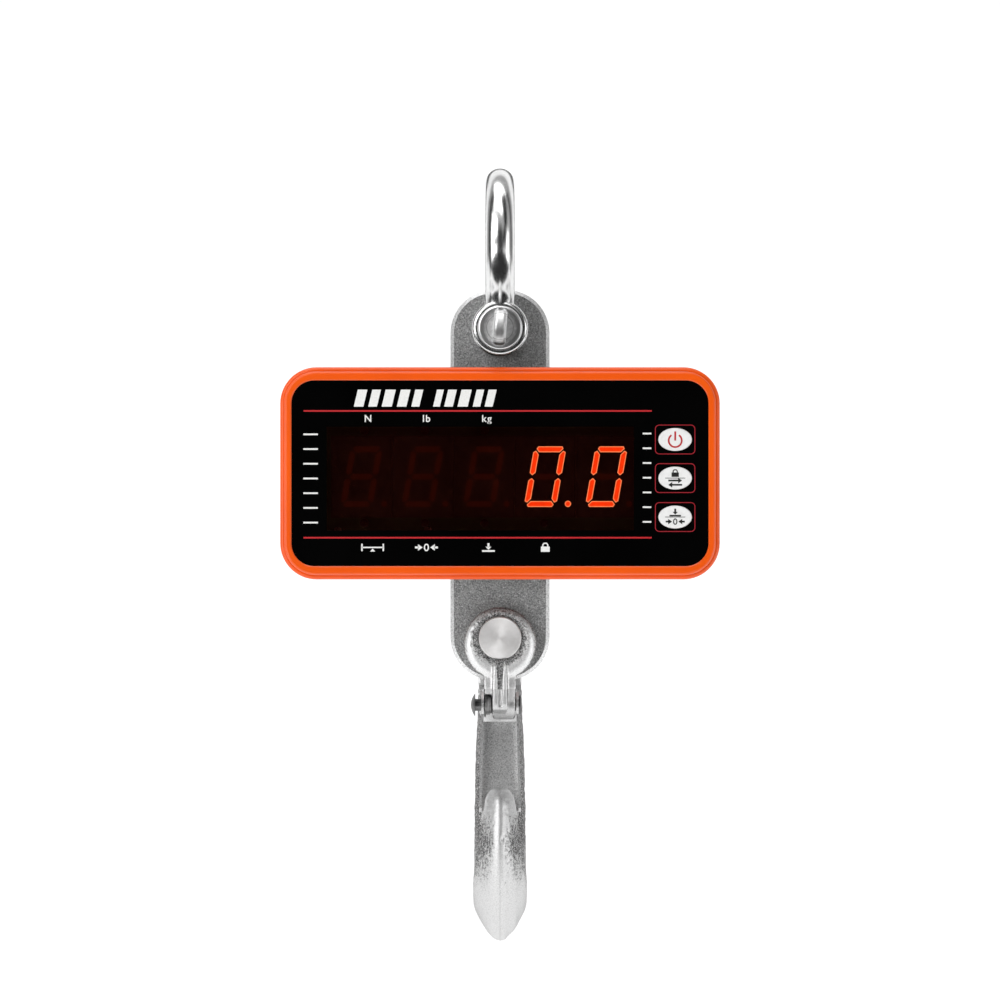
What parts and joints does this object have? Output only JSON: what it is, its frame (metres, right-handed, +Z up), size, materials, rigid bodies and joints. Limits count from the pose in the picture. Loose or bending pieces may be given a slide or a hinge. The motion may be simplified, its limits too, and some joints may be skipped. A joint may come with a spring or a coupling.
{
  "type": "hanging crane scale",
  "caption": "Hanging crane scale: bow shackle on a steel load cell plate, orange housing with red seven-segment display and oval keys, clevis hook with spring latch.",
  "frame": {"origin": "hang point: the inner crown of the shackle bow, in the middle of the wire's width", "axes": "+Z up along the load line, the display faces -Y, +X to the viewer's right; the shackle and the hook both lie in the Y-Z plane"},
  "size_m": [0.145, 0.0678, 0.26],
  "materials": {
    "polished_steel": "mirror polished stainless steel",
    "satin_steel": "satin turned stainless steel",
    "cell_steel": "fine grained blasted steel plate",
    "forged_steel": "bright plated rough forging",
    "turned_steel": "turned pin end with fine rings",
    "latch_steel": "pressed sheet steel, satin",
    "rivet_steel": "dark plated rivet",
    "spring_steel": "drawn wire",
    "screw_steel": "plated screws",
    "orange_plastic": "glossy moulded orange plastic",
    "seal_rubber": "soft black rubber",
    "overlay_black": "glossy black printed overlay",
    "red_filter": "dark red light filter",
    "key_white": "white moulded key",
    "module_black": "matte black display block",
    "led_lit": "lit orange-red diffuser",
    "led_dark": "unlit red diffuser",
    "lamp_dark": "unlit red lamp",
    "board_green": "circuit board with solder mask",
    "part_black": "moulded black electronic part",
    "battery_wrap": "shrink-wrapped battery",
    "lead_red": "insulated lead",
    "lead_grey": "insulated lead",
    "foil": "etched foil gauge",
    "cover_steel": "pressed cover",
    "pad_foam": "foam pad",
    "port_rubber": "black rubber flap",
    "label_plain": "blank silver label"
  },
  "bodies": {
    "shackle": {"shackle_bow": "polished_steel", "shackle_pin": "satin_steel"},
    "scale": {"load_cell": "cell_steel", "strain_gauges": "foil", "gauge_covers": "cover_steel", "gauge_lead": "lead_grey", "front_housing": "orange_plastic", "rear_housing": "orange_plastic", "housing_gasket": "seal_rubber", "plate_seals": "seal_rubber", "housing_screws": "screw_steel", "cell_screws": "screw_steel", "front_panel": "overlay_black", "display_window": "red_filter", "key_switches": "part_black", "digit_module_1": "module_black", "digit_module_2": "module_black", "digit_module_3": "module_black", "digit_module_4": "module_black", "digit_module_5": "module_black", "led_segments_lit": "led_lit", "led_segments_unlit": "led_dark", "indicator_lamps": "lamp_dark", "display_board": "board_green", "main_board": "board_green", "board_header": "part_black", "board_spacers": "screw_steel", "board_screws": "screw_steel", "battery_pack": "battery_wrap", "battery_pad": "pad_foam", "battery_clamp": "cover_steel", "battery_lead": "lead_red", "buzzer": "part_black", "charge_jack": "part_black", "port_strap": "port_rubber", "rating_label": "label_plain"},
    "key_power": {"key_power": "key_white"},
    "key_hold_unit": {"key_hold_unit": "key_white"},
    "key_tare_zero": {"key_tare_zero": "key_white"},
    "port_cover": {"port_cover": "port_rubber"},
    "hook": {"hook_forging": "forged_steel", "clevis_pin": "turned_steel", "pin_retainer": "spring_steel", "latch_rivet": "rivet_steel"},
    "latch": {"latch": "latch_steel", "latch_spring": "spring_steel"}
  },
  "joints": [
    {"name": "scale_swing", "type": "hinge", "parent": "shackle", "child": "scale", "pos_m": [0, 0, -0.045], "axis": [0, 1, 0], "range_deg": [-90, 90]},
    {"name": "hook_swing", "type": "hinge", "parent": "scale", "child": "hook", "pos_m": [0, 0, -0.1477], "axis": [0, 1, 0], "range_deg": [-90, 90]},
    {"name": "latch_hinge", "type": "hinge", "parent": "hook", "child": "latch", "pos_m": [0, -0.008, -0.1704], "axis": [1, 0, 0], "range_deg": [0, 45], "stiffness_Nm_per_rad": 0.02, "springref_deg": -34.38, "deforming": ["latch_spring"]},
    {"name": "key_power_press", "type": "slide", "parent": "scale", "child": "key_power", "axis": [0, 1, 0], "range_m": [0, 0.0004], "stiffness_N_per_m": 600, "springref_m": -0.0006},
    {"name": "key_hold_unit_press", "type": "slide", "parent": "scale", "child": "key_hold_unit", "axis": [0, 1, 0], "range_m": [0, 0.0004], "stiffness_N_per_m": 600, "springref_m": -0.0006},
    {"name": "key_tare_zero_press", "type": "slide", "parent": "scale", "child": "key_tare_zero", "axis": [0, 1, 0], "range_m": [0, 0.0004], "stiffness_N_per_m": 600, "springref_m": -0.0006},
    {"name": "port_cover_hinge", "type": "hinge", "parent": "scale", "child": "port_cover", "pos_m": [-0.046, 0.021, -0.1015], "axis": [1, 0, 0], "range_deg": [0, 105]}
  ]
}
